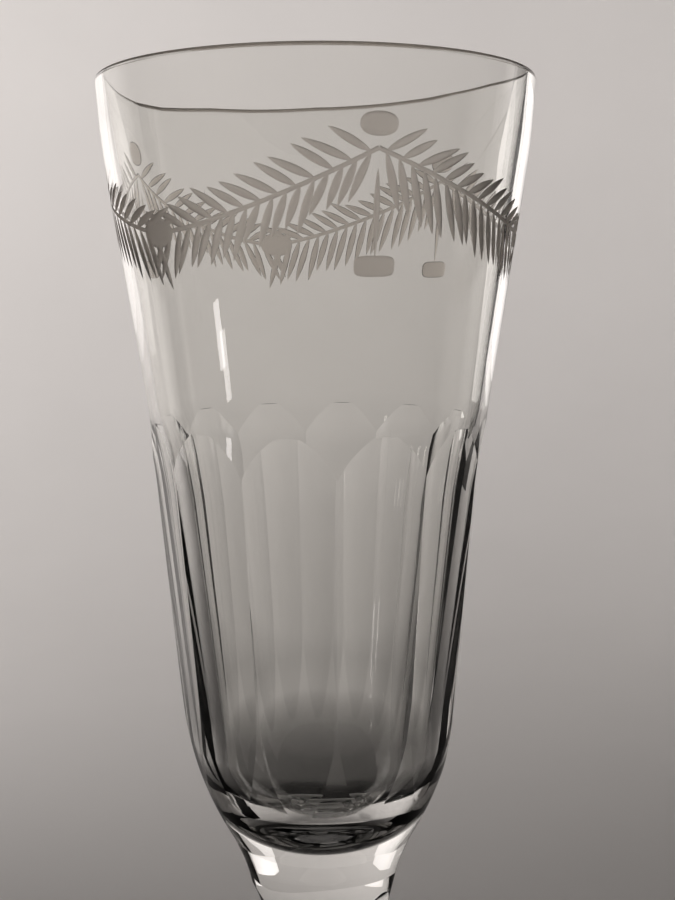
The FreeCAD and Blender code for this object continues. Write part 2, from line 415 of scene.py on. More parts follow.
def set_copies(tree: NodeTree, shape: object, count: object, links: dict[str, object],
               place: object = (0.0, 0.0, 0.0)) -> Node:
    """Add the nodes that set copies of a shape on points.

    Args:
        tree: the tree.
        shape: the shape, or the socket that gives the object to copy.
        count: how many copies there are.
        links: what else feeds the copies, such as their rotation and scale.
        place: where each is.

    Returns:
        The node that gives the copies.
    """
    if shape.type == "OBJECT":
        shape = add_node(tree, "GeometryNodeObjectInfo", links={"Object": shape}).outputs["Geometry"]
    spots = add_node(tree, "GeometryNodePoints", links={"Count": count, "Position": place})
    return add_node(tree, "GeometryNodeInstanceOnPoints", links={"Points": spots, "Instance": shape, **links})


def take_out(tree: NodeTree, ends: tuple[Node, Node], cutters: Node,
             kept: str | None, finish: str) -> None:
    """Add the nodes that take cutters out of the glass and dress it, and end the tree.

    Args:
        tree: the tree.
        ends: its input and output nodes.
        cutters: the node that gives the cutters.
        kept: name of the input with the finish whose faces keep it, or None to dress only the cuts.
        finish: name of the input with the finish.
    """
    given, result = ends
    cut = add_node(tree, "GeometryNodeMeshBoolean", {"operation": "DIFFERENCE", "solver": "MANIFOLD"},
                   {"Mesh 1": given.outputs["Geometry"], "Mesh 2": cutters})
    whole = add_node(tree, "GeometryNodeRealizeInstances", links={"Geometry": cut})
    chosen = add_node(tree, "GeometryNodeMaterialSelection", links={
        "Material": given.outputs[kept or finish]})
    if kept:
        chosen = add_node(tree, "FunctionNodeBooleanMath", {"operation": "NOT"}, {0: chosen})
    dressed = add_node(tree, "GeometryNodeSetMaterial", links={
        "Geometry": whole, "Selection": chosen, "Material": given.outputs[finish]})
    tree.links.new(dressed.outputs[0], result.inputs[0])


def ring_tree() -> NodeTree:
    """Build the tree that repeats a cutter round the axis and takes it out of a piece of glass.

    Returns:
        The tree.
    """
    tree, given, result = new_tree("ring_of_cuts", {
        "Cutter": "Object", "Count": "Int", "First angle": "Float", "Polish": "Material", "Seam": "Material",
    })
    step = add_node(tree, MATH, OVER, {0: 2 * math.pi, 1: given.outputs["Count"]})
    angle = add_node(tree, MATH, {"operation": "MULTIPLY_ADD"}, {
        0: add_node(tree, INDEX), 1: step, 2: given.outputs["First angle"]})
    turn = add_node(tree, XYZ, links={"Z": angle})
    ring = set_copies(tree, given.outputs["Cutter"], given.outputs["Count"], {"Rotation": turn})
    take_out(tree, (given, result), ring, "Seam", "Polish")
    return tree


# ---- finishes


class FinishName(Enum):
    """The finishes that the flute and its surroundings take."""

    CRYSTAL = "fire_polished_lead_crystal"
    ENGRAVED = "wheel_engraved_matt_crystal"
    FUSED = "fused_crystal_seam"
    PAPER = "matt_background_paper"
    # painted shade on the cards that only the glass sees
    BLACK = "painted_shade_card"


def new_finish(name: FinishName, sockets: dict[str, object],
               ) -> tuple[Material, NodeTree, Node]:
    """Make a material.

    Args:
        name: its name.
        sockets: values of its shader's inputs.

    Returns:
        The material, its node tree and its shader.
    """
    finish = bpy.data.materials.new(name.value)
    finish.use_nodes = True
    shader = finish.node_tree.nodes["Principled BSDF"]
    for socket, value in sockets.items():
        shader.inputs[socket].default_value = value
    return finish, finish.node_tree, shader


@dataclass(frozen=True)
class Crystal:
    """Lead crystal.

    Attributes:
        name: name of the finish.
        colour: what one pass through the surface leaves of white light.
        roughness: how widely the surface scatters what shines through.
        relief: distance between the rises of its faint relief.
        relief_depth: how deep the hollows between them are.
        relief_detail: how much finer relief there is on them.
        relief_strength: how much of it shows.
        ior: refractive index of lead crystal.
    """

    name: FinishName
    colour: str
    roughness: float
    relief: float
    relief_depth: float
    relief_detail: float = 1.0
    relief_strength: float = 1.0
    ior: float = 1.54

    def material(self) -> Material:
        """Return the material."""
        finish, tree, shader = new_finish(self.name, {
            "Base Color": linear(self.colour), "Roughness": self.roughness, "IOR": self.ior,
            "Transmission Weight": 1.0})
        place = add_node(tree, "ShaderNodeTexCoord")
        rises = add_node(tree, "ShaderNodeTexNoise", links={
            "Vector": place.outputs["Object"], "Scale": 1 / (self.relief * MM), "Detail": self.relief_detail})
        bump = add_node(tree, "ShaderNodeBump", links={
            "Height": rises, "Strength": self.relief_strength, "Distance": self.relief_depth * MM})
        tree.links.new(bump.outputs[0], shader.inputs["Normal"])
        return finish


@dataclass(frozen=True)
class FirePolishedCrystal(Crystal):
    """Clear lead crystal, blown, cut with flat panels and polished: bright, nearly colourless and hard edged.
    Its relief is the faint waviness that hand polishing leaves."""

    name: FinishName = FinishName.CRYSTAL
    colour: str = "#FBFBF9"
    roughness: float = 0.0
    relief: float = 9.0
    relief_depth: float = 0.012


@dataclass(frozen=True)
class WheelEngravedCrystal(Crystal):
    """Crystal ground with a fine stone and left matt: greyish and frosted. The garland and the edge of the
    rim have it. Its relief is grinding marks. Real ones are some 0.03 mm wide, and these are drawn as coarse
    as they need to be to show."""

    name: FinishName = FinishName.ENGRAVED
    colour: str = "#BEB6AD"
    roughness: float = 0.75
    relief: float = 0.12
    relief_depth: float = 0.01
    relief_detail: float = 2.0
    relief_strength: float = 0.6


@dataclass(frozen=True)
class FusedSeam:
    """The place where two pieces were fused while hot: nothing of it shows, so light crosses it unbent."""

    def material(self) -> Material:
        """Return the material."""
        return new_finish(FinishName.FUSED, {"Alpha": 0.0})[0]


# ---- the flute


@dataclass(frozen=True)
class Panels:
    """The flat panels cut down the side of the bowl. They run out just above its seam with the stem, and the
    stem's flats are lined up with them.

    Attributes:
        count: panels round the glass.
        turn: angle from +X to the middle of one.
        seam_radius: radius of the glass at that seam.
        run_out: how far outside the glass the wheel has come there.
        half_width: how far the cutter reaches sideways.
        clear: how far it reaches past the glass.
    """

    count: int = 12
    turn: float = -9.5
    seam_radius: float = 13.7
    run_out: float = 0.6
    half_width: float = 20.0
    clear: float = 2.0

    @property
    def inset(self) -> float:
        """Distance of a panel from the axis as a share of its ridges' radius."""
        return math.cos(math.pi / self.count)


@dataclass
class Piece:
    """A piece of the flute: a turned blank with rings of flats cut in it. Its own heights count from its
    lower seam, or from the table.

    Attributes:
        seam: height of that seam above the table.
        length: how tall the piece is.
        panels: the bowl's panels.
        columns: facets round the blank.
        tolerance: how far facets may stray from a bend.
    """

    seam: float = 0.0
    length: float = 0.0
    panels: Panels = Panels()
    columns: int = 360
    tolerance: float = 0.001

    @property
    def top(self) -> float:
        """Height of its upper end above the table."""
        return self.seam + self.length

    def blank(self) -> Outline:
        """Return the outline of the piece before cutting."""
        raise NotImplementedError

    def cuts(self) -> list[RingOfCuts]:
        """Return its rings of flats."""
        return []

    def seams(self) -> list[float]:
        """Return the heights at which it is fused to another piece."""
        return [self.seam]

    def engrave(self, piece: Object, matt: Material) -> None:
        """Engrave the cut piece. Only the bowl is engraved."""

    def grind(self, piece: Object) -> None:
        """Grind the edge of the finished piece. Only the bowl's is ground."""

    def build(self, name: str, polish: Material, matt: Material,
              fused: Material) -> Object:
        """Turn, cut and dress the piece.

        Args:
            name: the piece's name.
            polish: the finish of its surfaces.
            matt: the finish of what is engraved or ground.
            fused: the finish of its seams.

        Returns:
            The piece.
        """
        rows = self.blank().points(self.tolerance)
        poles = np.array([(0, 0, rows[0, 1]), (0, 0, rows[-1, 1])]) * MM
        vertices = np.concatenate([turned(rows[1:-1], self.columns), poles])
        piece = new_object(name, vertices, ring_faces(len(rows) - 2, self.columns), polish)
        for ring in self.cuts():
            cutter = ring.cutter(self.tolerance, polish)
            run_tree(piece, ring_tree(), {
                "Cutter": cutter, "Count": ring.count, "First angle": math.radians(ring.first_angle),
                "Polish": polish, "Seam": fused})
            bpy.data.objects.remove(cutter)
        self.engrave(piece, matt)
        self.mark_seams(piece, fused)
        self.smooth(piece, matt)
        self.grind(piece)
        return piece

    def mark_seams(self, piece: Object, fused: Material) -> None:
        """Give the flat discs at the seams the finish of a fused seam.

        Args:
            piece: the piece.
            fused: the finish.
        """
        upright, near = 0.999, 0.001 * MM
        piece.data.materials.append(fused)
        slot = len(piece.data.materials) - 1
        for face in piece.data.polygons:
            off_seam = min(abs(face.center.z - height * MM) for height in self.seams())
            if abs(face.normal.z) > upright and off_seam < near:
                face.material_index = slot

    def smooth(self, piece: Object, matt: Material) -> None:
        """Give polished faces the exact normals of the turned and cut surfaces that they lie on.

        Args:
            piece: the piece.
            matt: the finish whose faces keep normals of their own.
        """
        mesh, blank, rings = piece.data, self.blank(), self.cuts()
        centres = read(mesh.polygons, "center", 3) / MM
        facing = read(mesh.polygons, "normal", 3)
        areas = read(mesh.polygons, "area")
        corner_faces = np.repeat(np.arange(len(centres)), read(mesh.polygons, "loop_total", kind=int))
        corners = read(mesh.vertices, "co", 3)[read(mesh.loops, "vertex_index", kind=int)] / MM

        distance, run_numbers = blank.nearest(in_plane(centres, unit(centres[:, :2])))
        owners = np.zeros(len(centres), int)
        directions = np.zeros((len(centres), 2))
        for number, ring in enumerate(rings, start=1):
            outward = ring.outward(centres)
            gap, nearest_runs = ring.outline.nearest(in_plane(centres, outward))
            nearer = gap < distance
            distance[nearer], run_numbers[nearer] = gap[nearer], nearest_runs[nearer]
            owners[nearer], directions[nearer] = number, outward[nearer]

        matt_slots = np.array([slot == matt for slot in mesh.materials])
        matt_faces = matt_slots[read(mesh.polygons, "material_index", kind=int)]
        normals = np.zeros((len(corners), 3))
        for number, outline in enumerate([blank] + [ring.outline for ring in rings]):
            for run_number, run in enumerate(outline.runs):
                chosen = ((owners == number) & (run_numbers == run_number) & ~matt_faces)[corner_faces]
                places, faces = corners[chosen], corner_faces[chosen]
                outward = directions[faces] if number else unit(places[:, :2])
                slope = run.normals(in_plane(places, outward))
                exact = np.concatenate([outward * slope[:, :1], slope[:, 1:]], axis=1)
                agreement = ((exact * facing[faces]).sum(axis=1) * areas[faces]).sum()
                normals[chosen] = exact if agreement > 0 else -exact

        borders = np.zeros((len(mesh.edges), 2), bool)
        borders[read(mesh.loops, "edge_index", kind=int), matt_faces[corner_faces].astype(int)] = True
        mesh.shade_smooth()
        sharp = mesh.attributes.get("sharp_edge") or mesh.attributes.new("sharp_edge", "BOOLEAN", "EDGE")
        sharp.data.foreach_set("value", borders.all(axis=1))
        mesh.normals_split_custom_set(normals.tolist())


@dataclass(frozen=True)
class LeafRow:
    """One row of engraved leaves on one side of a branch.

    Attributes:
        side: -1 for the branch to the left of its peak, 1 for the one to the right.
        count: how many leaves there are.
        length: how long one is.
        width: how wide one is in its middle.
        tilt: angle of its tip above the horizontal, negative for a leaf that hangs.
    """

    side: int
    count: int
    length: float
    width: float
    tilt: float


@dataclass(frozen=True)
class Garland:
    """The festoon of leaves engraved under the rim: branches that swing from peak to peak, a pendant under
    each peak, a berry over it and an oval where two branches meet. It is laid out flat, then wrapped round
    the bowl and ground out of it.

    Attributes:
        peak_height: height of the peaks above the table.
        festoons: how many peaks there are round the bowl.
        first_peak: angle from +X to the first peak.
        drop: how far the branches swing down.
        sags: how the left and the right branch hang: 1 is straight, more is rounder.
        wrap_radius: radius of the bowl in the middle of the garland.
        depth: depth of the cuts.
        branch_width: width of a branch's line.
        seed: choice of the leaves' small differences.
        rows: the rows of leaves.
        row_ends: where on its branch, from 0 at the peak to 1, a row starts and ends.
        sway: how far a leaf may be turned either way.
        growth: how short and how long a leaf may be, as shares of its row's length.
        pendant_start: how far under the peak the pendant's stalk starts.
        pendant_length: how long the stalk is.
        pendant_width: how wide it is.
        pendant_drop: how far under the peak the pendant is.
        pendant_size: its width and height.
        berry_rise: how far over the peak the berry is.
        berry_size: its width and height.
        oval_size: width and height of the oval.
        pendant_squareness: 2 for an ellipse, more for a rounded rectangle.
        oval_squareness: the same for the berry and the oval.
    """

    peak_height: float = 160.3
    festoons: int = 3
    first_peak: float = -75.5
    drop: float = 9.3
    sags: tuple[float, float] = (1.65, 1.3)
    wrap_radius: float = 27.6
    depth: float = 0.22
    branch_width: float = 0.55
    seed: int = 4
    rows: tuple[LeafRow, ...] = (
        LeafRow(-1, 14, 5.6, 1.05, 28), LeafRow(-1, 18, 6.0, 1.05, -68),
        LeafRow(1, 15, 5.6, 1.05, 26), LeafRow(1, 18, 7.1, 1.1, -74),
    )
    row_ends: tuple[float, float] = (0.03, 0.97)
    sway: float = 5.0
    growth: tuple[float, float] = (0.88, 1.12)
    pendant_start: float = 2.3
    pendant_length: float = 10.4
    pendant_width: float = 0.8
    pendant_drop: float = 13.6
    pendant_size: tuple[float, float] = (5.2, 2.5)
    berry_rise: float = 2.7
    berry_size: tuple[float, float] = (4.4, 2.8)
    oval_size: tuple[float, float] = (5.4, 3.6)
    pendant_squareness: float = 4.0
    oval_squareness: float = 2.3

    @staticmethod
    def leaf(stations: int = 14, sides: int = 10) -> Object:
        """Make the cutter for one leaf.

        Args:
            stations: steps along it.
            sides: corners round it.

        Returns:
            A spindle of length, width and depth 1 along X from the origin.
        """
        fullest_place, fullness = 0.9, 0.75
        shares = np.arange(1, stations) / stations
        half = 0.5 * np.sin(math.pi * shares ** fullest_place) ** fullness
        angles = 2 * math.pi * np.arange(sides) / sides
        ring = np.stack([
            np.broadcast_to(shares[:, None], (len(shares), sides)),
            half[:, None] * np.cos(angles),
            half[:, None] * np.sin(angles),
        ], axis=-1).reshape(-1, 3)
        vertices = np.concatenate([ring, [(0, 0, 0), (1, 0, 0)]])
        return new_object("leaf", vertices, ring_faces(len(shares), sides))

    @staticmethod
    def disc(name: str, squareness: float, sides: int = 40, steps: int = 7) -> Object:
        """Return the cutter for a flat-bottomed disc of width, height and depth 1.

        Args:
            name: its name.
            squareness: 2 for an ellipse, more for a rounded rectangle.
            sides: corners round its edge.
            steps: points from its middle to its edge.

        Returns:
            A closed mesh object in the XZ plane.
        """
        angles = 2 * math.pi * np.arange(sides) / sides
        edge = np.stack([np.cos(angles), np.sin(angles)], axis=1)
        edge = 0.5 * np.sign(edge) * np.abs(edge) ** (2 / squareness)
        shares = np.sin(np.linspace(0, math.pi / 2, steps))[1:]
        heights = 0.5 * np.sqrt(1 - shares ** 4)
        levels = list(zip(shares, -heights)) + list(zip(shares[-2::-1], heights[-2::-1]))
        ring = np.array([(x * share, level, z * share) for share, level in levels for x, z in edge])
        return new_object(name, np.concatenate([ring, [(0, -0.5, 0), (0, 0.5, 0)]]),
                          ring_faces(len(levels), sides, flipped=True))

    def engrave(self, bowl: Object, matt: Material) -> None:
        """Grind the garland out of the bowl.

        Args:
            bowl: the bowl's mesh object.
            matt: the finish of the cuts.
        """
        cutters = [self.leaf(), self.disc("pendant", self.pendant_squareness),
                   self.disc("oval", self.oval_squareness)]
        run_tree(bowl, GarlandTree(self).tree, {
            "Leaf": cutters[0], "Pendant": cutters[1], "Oval": cutters[2], "Festoons": self.festoons,
            "First peak": math.radians(self.first_peak), "Peak height": self.peak_height * MM,
            "Drop": self.drop * MM, "Wrap radius": self.wrap_radius * MM, "Depth": 2 * self.depth * MM,
            "Seed": self.seed, "Matt": matt,
        })
        for cutter in cutters:
            bpy.data.objects.remove(cutter)


class GarlandTree:
    """The node tree that lays a garland out flat, wraps it round the bowl and grinds it out."""

    def __init__(self, plan: Garland) -> None:
        """Build the tree.

        Args:
            plan: the garland.
        """
        self.plan = plan
        self.tree, given, result = new_tree("leaf_garland", {
            "Leaf": "Object", "Pendant": "Object", "Oval": "Object", "Festoons": "Int", "First peak": "Float",
            "Peak height": "Float", "Drop": "Float", "Wrap radius": "Float", "Depth": "Float", "Seed": "Int",
            "Matt": "Material",
        })
        self.given = given.outputs
        self.add = partial(add_node, self.tree)
        span = self.add(MATH, OVER, {0: math.pi, 1: self.given["Festoons"]})
        self.reach = self.add(MATH, TIMES, {0: span, 1: self.given["Wrap radius"]})
        parts = [self.leaves(number, row) for number, row in enumerate(plan.rows)]
        parts += [self.branch(side) for side in (-1, 1)] + self.ornaments()
        flat = self.add("GeometryNodeMeshBoolean", {"operation": "UNION", "solver": "MANIFOLD"}, {
            "Mesh 2": parts})
        matt = self.add("GeometryNodeSetMaterial", links={
            "Geometry": self.wrap(flat), "Material": self.given["Matt"]})
        step = self.add(MATH, TIMES, {0: span, 1: 2.0})
        turn = self.add(MATH, TIMES, {0: self.add(INDEX), 1: step})
        round_bowl = set_copies(self.tree, matt, self.given["Festoons"], {
            "Rotation": self.add(XYZ, links={"Z": turn})})
        take_out(self.tree, (given, result), round_bowl, None, "Matt")

    def leaves(self, row_number: int, row: LeafRow) -> Node:
        """Add the nodes for one row of leaves, each a little different from the next.

        Args:
            row_number: the row's number, which its random draws start from.
            row: the row.

        Returns:
            The node that gives the leaves.
        """
        number = self.add(INDEX)
        share = self.add("ShaderNodeMapRange", links={
            "Value": number, "From Max": float(row.count - 1), "To Min": self.plan.row_ends[0],
            "To Max": self.plan.row_ends[1]})
        sway = math.radians(self.plan.sway)
        sway, growth = [
            self.add("FunctionNodeRandomValue", links={
                2: low, 3: high, 7: number,
                8: self.add(MATH, links={0: self.given["Seed"], 1: row_number * 2 + draw}),
            }).outputs[1]
            for draw, (low, high) in enumerate(((-sway, sway), self.plan.growth))
        ]
        lean = math.radians(-row.tilt if row.side > 0 else row.tilt - 180)
        turn = self.add(MATH, links={0: sway, 1: lean})
        length = self.add(MATH, TIMES, {0: growth, 1: row.length * MM})
        depth = self.add(MATH, TIMES, {0: growth, 1: self.given["Depth"]})
        return set_copies(self.tree, self.given["Leaf"], row.count, {
            "Rotation": self.add(XYZ, links={"Y": turn}),
            "Scale": self.add(XYZ, links={"X": length, "Y": depth, "Z": row.width * MM}),
        }, self.branch_point(share, row.side))

    def branch_point(self, share: Node, side: int) -> Node:
        """Add the nodes for a point on a branch of the flat layout.

        Args:
            share: how far along the branch the point is, from 0 at the peak to 1.
            side: -1 for the left branch, 1 for the right.

        Returns:
            The node that gives the point's place.
        """
        signed = self.add(MATH, TIMES, {0: self.reach, 1: float(side)})
        across = self.add(MATH, TIMES, {0: share, 1: signed})
        rest = self.add(MATH, MINUS, {0: 1.0, 1: share})
        curve = self.add(MATH, {"operation": "POWER"}, {0: rest, 1: self.plan.sags[side > 0]})
        sunk = self.add(MATH, MINUS, {0: 1.0, 1: curve})
        fall = self.add(MATH, TIMES, {0: sunk, 1: self.given["Drop"]})
        up = self.add(MATH, MINUS, {0: self.given["Peak height"], 1: fall})
        return self.add(XYZ, links={"X": across, "Z": up})

    def branch(self, side: int, steps: int = 28, corners: int = 8) -> Node:
        """Add the nodes for the line of one branch.

        Args:
            side: -1 for the left branch, 1 for the right.
            steps: points along it.
            corners: points round its section.

        Returns:
            The node that gives the line, as one instance.
        """
        share = self.add("ShaderNodeMapRange", links={"Value": self.add(INDEX), "From Max": float(steps - 1)})
        laid = self.add("GeometryNodeSetPosition", links={
            "Geometry": self.add("GeometryNodeMeshLine", links={"Count": steps}),
            "Position": self.branch_point(share, side)})
        path = self.add("GeometryNodeMeshToCurve", links={"Mesh": laid})
        section = self.add("GeometryNodeCurvePrimitiveCircle", links={
            "Resolution": corners, "Radius": self.plan.branch_width / 2 * MM})
        stroke = self.add("GeometryNodeCurveToMesh", links={
            "Curve": path, "Profile Curve": section, "Fill Caps": True})
        shallow = self.add("GeometryNodeTransform", links={
            "Geometry": stroke, "Scale": (1.0, self.plan.depth / self.plan.branch_width, 1.0)})
        return self.add("GeometryNodeGeometryToInstance", links={0: shallow})

    def ornaments(self) -> list[Node]:
        """Add the nodes for the pendant and its stalk, the berry and the oval.

        Returns:
            The nodes that give them.
        """
        plan, parts, down = self.plan, [], math.radians(90)
        for cutter, side, rise, turn, (length, height) in (
            ("Leaf", 0.0, -plan.pendant_start, down, (plan.pendant_length, plan.pendant_width)),
            ("Pendant", 0.0, -plan.pendant_drop, 0.0, plan.pendant_size),
            ("Oval", 0.0, plan.berry_rise, 0.0, plan.berry_size),
            ("Oval", 1.0, -plan.drop, 0.0, plan.oval_size),
        ):
            across = self.add(MATH, TIMES, {0: self.reach, 1: side})
            up = self.add(MATH, links={0: self.given["Peak height"], 1: rise * MM})
            parts.append(set_copies(self.tree, self.given[cutter], 1, {
                "Rotation": (0.0, turn, 0.0), "Scale": (length * MM, 2 * plan.depth * MM, height * MM),
            }, self.add(XYZ, links={"X": across, "Z": up})))
        return parts

    def wrap(self, flat: Node) -> Node:
        """Add the nodes that wrap the flat layout round the bowl, so that its plane lies on the glass.

        Args:
            flat: the node that gives the flat layout.

        Returns:
            The node that gives the wrapped layout.
        """
        start = 2 * self.plan.wrap_radius * MM
        spot = self.add("ShaderNodeSeparateXYZ", links={0: self.add("GeometryNodeInputPosition")})
        arc = self.add(MATH, OVER, {0: spot.outputs["X"], 1: self.given["Wrap radius"]})
        angle = self.add(MATH, links={0: arc, 1: self.given["First peak"]})
        outward = self.add(XYZ, links={
            "X": self.add(MATH, {"operation": "COSINE"}, {0: angle}),
            "Y": self.add(MATH, {"operation": "SINE"}, {0: angle})})
        inward = self.add(VECTOR_MATH, SCALED, {0: outward, "Scale": -1.0})
        level = self.add(XYZ, links={"Z": spot.outputs["Z"]})
        far = self.add(VECTOR_MATH, SCALED, {0: outward, "Scale": start})
        hit = self.add("GeometryNodeRaycast", links={
            "Target Geometry": self.given["Geometry"], "Ray Direction": inward, "Ray Length": start,
            "Source Position": self.add(VECTOR_MATH, links={0: level, 1: far})})
        sunk = self.add(VECTOR_MATH, SCALED, {0: inward, "Scale": spot.outputs["Y"]})
        place = self.add(VECTOR_MATH, links={0: hit.outputs["Hit Position"], 1: sunk})
        return self.add("GeometryNodeSetPosition", links={"Geometry": flat, "Position": place})


@dataclass
class Bowl(Piece):
    """The blown bowl, its twelve panels and its engraved garland. rim_dips holds bearings and how far the
    sheared rim lies below its highest level there."""

    garland: Garland = Garland()
    length: float = 108.5
    rim_radius: float = 30.05
    lip_taper: float = 0.6
    lip_drop: float = 9.0
    lip_bend: float = 90.0
    shoulder_radius: float = 23.95
    shoulder_height: float = 62.0
    shoulder_bend: float = 40.0
    rim_wall: float = 1.35
    rim_round: float = 0.48
    shoulder_wall: float = 1.4
    base_wall: float = 5.2
    floor_height: float = 1.4
    belly_inset: float = 0.5
    belly_drop: float = 12.0
    belly_bend: float = 60.0
    base_radius: float = 19.3
    base_height: float = 10.0
    base_bend: float = 50.0
    arch_drop: float = 5.5
    arch_depth: float = 0.12
    arch_bend: float = 55.0
    base_depth: float = 0.4
    rim_ground: float = 0.45
    rim_reach: float = 7.0
    rim_dips: tuple[tuple[float, float], ...] = (
        (0, 0), (25, 0), (36, 0.3), (50, 0.6), (90, 0.8), (125, 1.6), (145, 2.5), (158, 2.6), (172, 1.6),
        (185, 0.4), (196, 0), (360, 0))
    tolerance: float = 0.002

    @property
    def shoulder(self) -> float:
        """Height above the table of the place where the panels' arches end."""
        return self.seam + self.shoulder_height

    def blank(self) -> Outline:
        """Return the outline of the blown bowl before cutting, with a half ball as its inside floor."""
        bend = self.rim_wall * self.rim_round
        floor = self.base_radius * self.panels.inset - self.base_wall
        floor_height = self.seam + self.floor_height
        shoulder_inside = self.shoulder_radius - self.shoulder_wall
        lean = math.atan2(shoulder_inside - floor, self.shoulder - floor_height)
        return Outline([
            Corner(0, self.seam),
            Corner(self.panels.seam_radius, self.seam),
            Corner(self.base_radius, self.seam + self.base_height, self.base_bend),
            Corner(self.shoulder_radius - self.belly_inset, self.shoulder - self.belly_drop, self.belly_bend),
            Corner(self.shoulder_radius, self.shoulder, self.shoulder_bend),
            Corner(self.rim_radius - self.lip_taper, self.top - self.lip_drop, self.lip_bend),
            Corner(self.rim_radius, self.top, bend),
            Corner(self.rim_radius - self.rim_wall, self.top, bend),
            Corner(shoulder_inside, self.shoulder),
            Corner(floor, floor_height, floor * math.tan(math.pi / 4 + lean / 2)),
            Corner(0, floor_height),
        ])

    def cuts(self) -> list[RingOfCuts]:
        """Return the ring of flat panels with arched tops."""
        beyond = self.rim_radius + self.panels.clear
        arch = self.shoulder_radius - self.belly_inset * self.arch_drop / self.belly_drop - self.arch_depth
        outline = Outline([
            Corner(beyond, self.seam),
            Corner(beyond, self.shoulder + beyond - self.shoulder_radius),
            Corner(self.shoulder_radius, self.shoulder),
            Corner(arch * self.panels.inset, self.shoulder - self.arch_drop, self.arch_bend),
            Corner(self.base_radius - self.base_depth, self.seam + self.base_height, self.base_bend),
            Corner(self.panels.seam_radius + self.panels.run_out, self.seam),
        ], closed=True)
        return [RingOfCuts(outline, self.panels.count, self.panels.turn, self.panels.half_width)]

    def engrave(self, piece: Object, matt: Material) -> None:
        """Engrave the garland."""
        self.garland.engrave(piece, matt)

    def grind(self, piece: Object) -> None:
        """Give the very edge of the rim the matt finish of the stone that it was ground with, and let the rim
        dip a little on its far side, as a sheared rim does.

        Args:
            piece: the cut and engraved bowl.
        """
        matt = piece.data.materials.find(FinishName.ENGRAVED.value)
        for face in piece.data.polygons:
            if face.center.z > (self.top - self.rim_ground) * MM:
                face.material_index = matt
        places = read(piece.data.vertices, "co", 3)
        share = np.clip((places[:, 2] - self.top * MM) / (self.rim_reach * MM) + 1, 0, 1)
        bearings, drops = np.array(self.rim_dips).T
        turn = np.degrees(np.arctan2(places[:, 1], places[:, 0])) % 360
        places[:, 2] -= np.interp(turn, bearings, drops) * MM * share ** 2 * (3 - 2 * share)
        piece.data.vertices.foreach_set("co", places.ravel())
        piece.data.update()


@dataclass
class Stem(Piece):
    """The drawn stem: round on top, where it meets the bowl, with six long flats below. Its drops count from
    its top."""

    length: float = 56.5
    flat_count: int = 6
    flat_turn: float = 90.0
    knee_drop: float = 4.9
    knee_bend: float = 30.0
    flat_top_radius: float = 11.05
    flat_top_drop: float = 7.0
    flat_top_bend: float = 40.0
    waist_radius: float = 5.4
    waist_height: float = 29.0
    waist_bend: float = 110.0
    flat_foot_radius: float = 6.3
    flat_foot_height: float = 9.5
    wheel_edge: float = 7.0
    allowance: float = 0.8
    neck_radius: float = 6.6
    neck_height: float = 5.5
    neck_bend: float = 8.0
    foot_radius: float = 10.0
    run_out_reach: float = 6.0
    run_out_rise: float = 3.5
    top_run_out_rise: float = 6.0

    def seams(self) -> list[float]:
        """Return the heights at which it is fused to the foot and to the bowl."""
        return [self.seam, self.top]

    def blank(self) -> Outline:
        """Return the outline of the drawn stem before cutting, which flares out to the bowl from its knee."""
        knee_height = self.length - self.knee_drop
        run_out_height = self.length - self.flat_top_drop
        slope = (self.flat_top_radius - self.waist_radius) / (run_out_height - self.waist_height)
        knee_radius = self.waist_radius + (knee_height - self.waist_height) * slope
        return Outline([
            Corner(0, self.seam),
            Corner(self.foot_radius, self.seam),
            Corner(self.neck_radius, self.seam + self.neck_height, self.neck_bend),
            Corner(self.waist_radius + self.allowance, self.seam + self.waist_height, self.waist_bend),
            Corner(knee_radius, self.seam + knee_height, self.knee_bend),
            Corner(self.panels.seam_radius, self.top),
            Corner(0, self.top),
        ])

    def cuts(self) -> list[RingOfCuts]:
        """Return the six long hollow-ended flats."""
        inset = math.cos(math.pi / self.flat_count)
        foot, foot_height = self.flat_foot_radius * inset, self.seam + self.flat_foot_height
        top, top_height = self.flat_top_radius * inset, self.top - self.flat_top_drop
        outline = Outline([
            Corner(foot + self.run_out_reach, foot_height - self.run_out_rise),
            Corner(top + self.run_out_reach, top_height + self.top_run_out_rise),
            Corner(top, top_height, self.flat_top_bend),
            Corner(self.waist_radius * inset, self.seam + self.waist_height, self.waist_bend),
            Corner(foot, foot_height, self.wheel_edge),
        ], closed=True)
        turn = self.panels.turn + self.flat_turn
        return [RingOfCuts(outline, self.flat_count, turn, self.panels.half_width)]


@dataclass
class Foot(Piece):
    """The pressed foot: a low cone on a flat ground ring, with a flat polished recess in the middle
    underneath."""

    length: float = 7.0
    stem_radius: float = 10.0
    radius: float = 29.0
    edge: float = 2.4
    edge_round: float = 1.1
    sweep_radius: float = 11.4
    sweep_height: float = 4.8
    sweep_bend: float = 3.0
    ring_inner: float = 25.2
    kick_rise: float = 1.1
    pontil_radius: float = 8.5
    pontil_depth: float = 0.8
    pontil_bend: float = 0.5

    def seams(self) -> list[float]:
        """Return the height at which it is fused to the stem."""
        return [self.top]

    def blank(self) -> Outline:
        """Return the outline of the foot."""
        pontil_edge = self.kick_rise * (1 - self.pontil_radius / self.ring_inner)
        return Outline([
            Corner(0, pontil_edge + self.pontil_depth),
            Corner(self.pontil_radius - self.pontil_depth, pontil_edge + self.pontil_depth, self.pontil_bend),
            Corner(self.pontil_radius, pontil_edge, self.pontil_bend / 2),
            Corner(self.ring_inner, 0),
            Corner(self.radius, 0, self.edge_round),
            Corner(self.radius, self.edge, self.edge_round),
            Corner(self.sweep_radius, self.sweep_height, self.sweep_bend),
            Corner(self.stem_radius, self.top),
            Corner(0, self.top),
        ])


# ---- the studio


